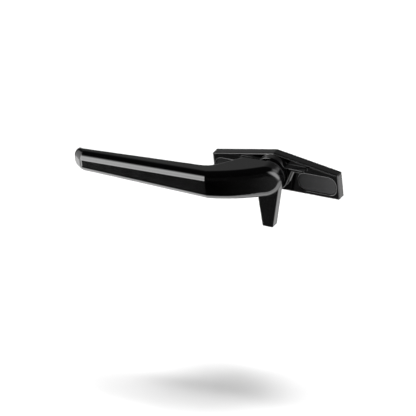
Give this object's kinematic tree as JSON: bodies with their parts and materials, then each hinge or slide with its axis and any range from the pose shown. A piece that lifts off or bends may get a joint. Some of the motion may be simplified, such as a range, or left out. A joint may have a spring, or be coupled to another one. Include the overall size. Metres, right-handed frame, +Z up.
{
  "type": "window handle",
  "caption": "Gloss black window fastener: a cranked lever with a wedge tongue turns on a low roof-shaped base with capped fixing holes.",
  "frame": {"origin": "on the spindle's axis, in the plane of the base's sash face", "axes": "+X along the base away from the grip, +Y into the sash, +Z up; the lever is closed, with its grip towards -X and its tongue down"},
  "size_m": [0.1594, 0.0359, 0.0426],
  "materials": {
    "base_enamel": "gloss black enamel on die-cast zinc",
    "lever_enamel": "gloss black enamel on die-cast zinc",
    "cap_plastic": "satin black moulded plastic",
    "bush_nylon": "black nylon",
    "spring_steel": "spring steel",
    "plated_steel": "bright zinc plate"
  },
  "bodies": {
    "base": {"base_plate": "base_enamel", "bearing_bush": "bush_nylon", "disc_spring": "spring_steel", "left_cap": "cap_plastic", "right_cap": "cap_plastic"},
    "handle": {"lever": "lever_enamel", "stop_washer": "plated_steel", "pivot_screw": "plated_steel"}
  },
  "joints": [
    {"name": "lever_turn", "type": "hinge", "parent": "base", "child": "handle", "pos_m": [0, 0, 0], "axis": [0, 1, 0], "range_deg": [0, 90]}
  ]
}
